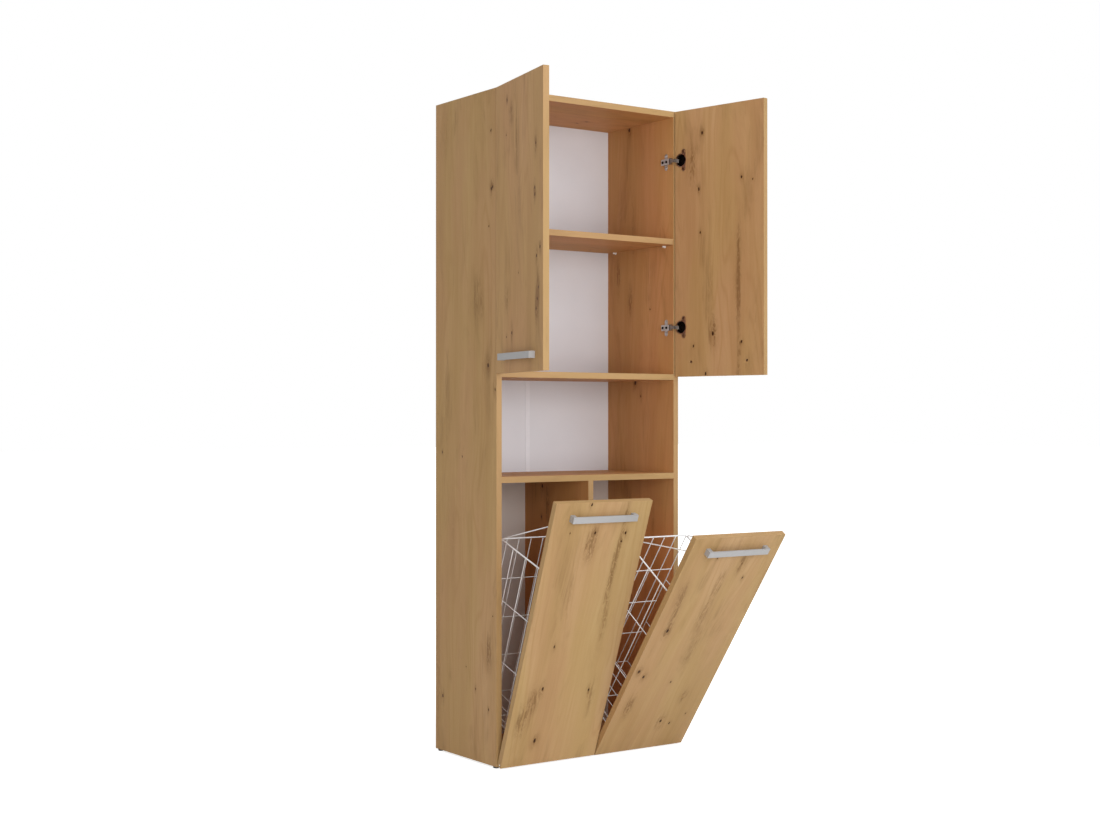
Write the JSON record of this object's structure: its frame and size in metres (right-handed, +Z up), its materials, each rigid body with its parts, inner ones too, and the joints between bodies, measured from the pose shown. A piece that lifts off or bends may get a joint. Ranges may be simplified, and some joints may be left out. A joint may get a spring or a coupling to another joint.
{
  "type": "bathroom storage tower",
  "caption": "Tall narrow cabinet with doors on concealed hinges over an open niche, and tilt-out hamper fronts below that carry wire laundry baskets.",
  "frame": {"origin": "on the floor under the middle of the carcass footprint, front edges at Y -0.150 and rear edges at Y +0.150", "axes": "+X to the right seen from the front, +Y to the rear, +Z up"},
  "size_m": [0.7361, 0.7365, 1.745],
  "materials": {
    "oak_board": "knotty golden oak laminate, satin",
    "back_board": "white lacquered hardboard",
    "white_plastic": "moulded, matt",
    "black_plastic": "moulded, matt",
    "white_wire": "white powder coat",
    "hinge_nickel": "nickel plated, satin",
    "handle_aluminium": "light grey satin",
    "zinc_steel": "bright zinc plate",
    "bronze_steel": "brown plated screw heads",
    "beech_dowel": "plain beech"
  },
  "bodies": {
    "carcass": {"left_side_panel": "oak_board", "right_side_panel": "oak_board", "top_panel": "oak_board", "bottom_panel": "oak_board", "niche_top_shelf": "oak_board", "niche_floor_shelf": "oak_board", "hamper_divider": "oak_board", "left_back_sheet": "back_board", "right_back_sheet": "back_board", "back_joint_strips": "white_plastic", "adjustable_shelf": "oak_board", "shelf_pins": "white_plastic", "floor_glides": "black_plastic", "cam_locks": "zinc_steel", "cam_bolts": "zinc_steel", "wood_dowels": "beech_dowel", "back_nails": "zinc_steel", "left_hinge_plates": "hinge_nickel", "right_hinge_plates": "hinge_nickel", "left_hinge_arms": "hinge_nickel", "right_hinge_arms": "hinge_nickel", "hinge_screws": "zinc_steel", "hamper_pivot_brackets": "zinc_steel", "hamper_pivot_pins": "zinc_steel", "bracket_screws": "zinc_steel"},
    "left_door": {"left_door": "oak_board", "left_door_handle": "handle_aluminium", "left_door_screws": "bronze_steel", "left_hinge_cups": "hinge_nickel", "left_hinge_rivets": "zinc_steel"},
    "right_door": {"right_door": "oak_board", "right_door_handle": "handle_aluminium", "right_door_screws": "bronze_steel", "right_hinge_cups": "hinge_nickel", "right_hinge_rivets": "zinc_steel"},
    "left_hamper": {"left_hamper_front": "oak_board", "left_hamper_handle": "handle_aluminium", "left_hamper_screws": "zinc_steel", "left_basket_rim": "white_wire", "left_basket_stays": "white_wire", "left_basket_left_side": "white_wire", "left_basket_right_side": "white_wire", "left_basket_rear": "white_wire", "left_basket_front": "white_wire", "left_basket_floor": "white_wire", "left_basket_clips": "white_plastic"},
    "right_hamper": {"right_hamper_front": "oak_board", "right_hamper_handle": "handle_aluminium", "right_hamper_screws": "zinc_steel", "right_basket_rim": "white_wire", "right_basket_stays": "white_wire", "right_basket_left_side": "white_wire", "right_basket_right_side": "white_wire", "right_basket_rear": "white_wire", "right_basket_front": "white_wire", "right_basket_floor": "white_wire", "right_basket_clips": "white_plastic"}
  },
  "joints": [
    {"name": "left_door_hinge", "type": "hinge", "parent": "carcass", "child": "left_door", "pos_m": [-0.294, -0.1589, 1.378], "axis": [0, 0, -1], "range_deg": [-101, 7]},
    {"name": "right_door_hinge", "type": "hinge", "parent": "carcass", "child": "right_door", "pos_m": [0.294, -0.1589, 1.378], "axis": [0, 0, 1], "range_deg": [-102, 6]},
    {"name": "left_hamper_tilt", "type": "hinge", "parent": "carcass", "child": "left_hamper", "pos_m": [-0.146, -0.1615, 0.0115], "axis": [1, 0, 0], "range_deg": [-20, 20]},
    {"name": "right_hamper_tilt", "type": "hinge", "parent": "carcass", "child": "right_hamper", "pos_m": [0.146, -0.1615, 0.0115], "axis": [1, 0, 0], "range_deg": [-35, 5]}
  ]
}
